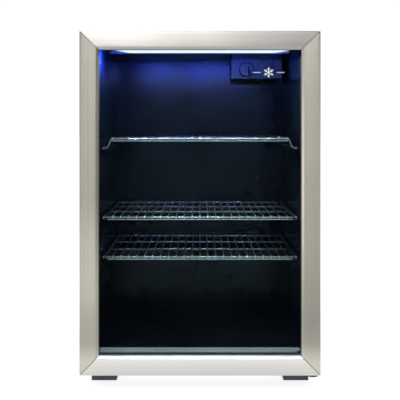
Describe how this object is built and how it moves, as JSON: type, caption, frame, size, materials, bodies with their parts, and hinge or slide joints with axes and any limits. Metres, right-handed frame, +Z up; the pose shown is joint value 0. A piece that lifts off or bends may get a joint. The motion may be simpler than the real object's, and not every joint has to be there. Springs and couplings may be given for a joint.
{
  "type": "mini fridge",
  "caption": "Compact free-standing beverage cooler with a framed double-glazed door hinged on the right, wire shelves, a lit black liner and a rear compressor and condenser.",
  "frame": {"origin": "centre of the footprint on the floor", "axes": "+Z up, -Y towards the person at the door, +X towards the hinge side"},
  "size_m": [0.445, 0.5, 0.667],
  "materials": {
    "brushed_stainless": "brushed",
    "frame_plastic": "satin",
    "door_glass": "clear, faint grey-green tint",
    "spacer_metal": "satin",
    "gasket_rubber": "matt",
    "bush_nylon": "satin",
    "shell_paint": "fine textured black paint",
    "bare_sheet": "zinc-coated sheet",
    "liner_plastic": "gloss black",
    "foam": "rigid foam",
    "sill_plastic": "satin grey",
    "evaporator_metal": "mill",
    "tray_plastic": "satin",
    "led_board": "white solder mask",
    "lens_plastic": "frosted, lit",
    "control_metal": "plated",
    "knob_plastic": "satin black",
    "hinge_steel": "bright zinc",
    "compressor_paint": "satin black enamel",
    "rubber": "matt",
    "copper": "drawn copper",
    "foot_plastic": "satin charcoal",
    "shelf_wire": "dark plated wire"
  },
  "bodies": {
    "cabinet": {"cabinet_shell": "shell_paint", "back_panel": "bare_sheet", "base_pan": "bare_sheet", "front_rail": "shell_paint", "bay_panel": "bare_sheet", "inner_liner": "liner_plastic", "foam_insulation": "foam", "sill_trim": "sill_plastic", "evaporator_plate": "evaporator_metal", "drain_trough": "liner_plastic", "drain_tube": "tray_plastic", "drip_tray": "tray_plastic", "light_housing": "liner_plastic", "led_board": "led_board", "light_lens": "lens_plastic", "thermostat_housing": "liner_plastic", "thermostat_body": "control_metal", "switch_body": "knob_plastic", "upper_hinge_plate": "hinge_steel", "upper_hinge_pin": "hinge_steel", "lower_hinge_plate": "hinge_steel", "lower_hinge_pin": "hinge_steel", "hinge_cover": "frame_plastic", "hinge_screws": "hinge_steel", "compressor_shell": "compressor_paint", "compressor_base": "compressor_paint", "compressor_mounts": "rubber", "mount_bolts": "hinge_steel", "relay_cover": "knob_plastic", "condenser_tube": "compressor_paint", "condenser_wires": "compressor_paint", "condenser_brackets": "knob_plastic", "filter_drier": "copper", "suction_line": "copper", "discharge_line": "copper", "cord_gland": "knob_plastic", "front_foot_left": "foot_plastic", "front_foot_right": "foot_plastic", "rear_feet": "foot_plastic", "wall_spacers": "knob_plastic", "rear_screws": "hinge_steel"},
    "door": {"trim_top": "brushed_stainless", "trim_bottom": "brushed_stainless", "trim_left": "brushed_stainless", "trim_right": "brushed_stainless", "door_frame": "frame_plastic", "outer_glass": "door_glass", "inner_glass": "door_glass", "glass_spacer": "spacer_metal", "door_gasket": "gasket_rubber", "upper_bush": "bush_nylon", "lower_bush": "bush_nylon"},
    "top_shelf": {"shelf_top": "shelf_wire"},
    "middle_shelf": {"shelf_middle": "shelf_wire"},
    "lower_shelf": {"shelf_lower": "shelf_wire"},
    "thermostat_dial": {"thermostat_knob": "knob_plastic", "thermostat_spindle": "control_metal"},
    "light_switch": {"light_rocker": "knob_plastic"}
  },
  "joints": [
    {"name": "door_swing", "type": "hinge", "parent": "cabinet", "child": "door", "pos_m": [0.212, -0.216, 0.343], "axis": [0, 0, 1], "range_deg": [0, 110]},
    {"name": "top_shelf_slide", "type": "slide", "parent": "cabinet", "child": "top_shelf", "axis": [0, -1, 0], "range_m": [0, 0.02]},
    {"name": "middle_shelf_slide", "type": "slide", "parent": "cabinet", "child": "middle_shelf", "axis": [0, -1, 0], "range_m": [0, 0.02]},
    {"name": "lower_shelf_slide", "type": "slide", "parent": "cabinet", "child": "lower_shelf", "axis": [0, -1, 0], "range_m": [0, 0.02]},
    {"name": "thermostat_turn", "type": "hinge", "parent": "cabinet", "child": "thermostat_dial", "pos_m": [0.104, 0.076, 0.61], "axis": [0, -1, 0], "range_deg": [-270, 0]},
    {"name": "light_rock", "type": "hinge", "parent": "cabinet", "child": "light_switch", "pos_m": [0.154, 0.08, 0.61], "axis": [1, 0, 0], "range_deg": [-16, 0]}
  ]
}
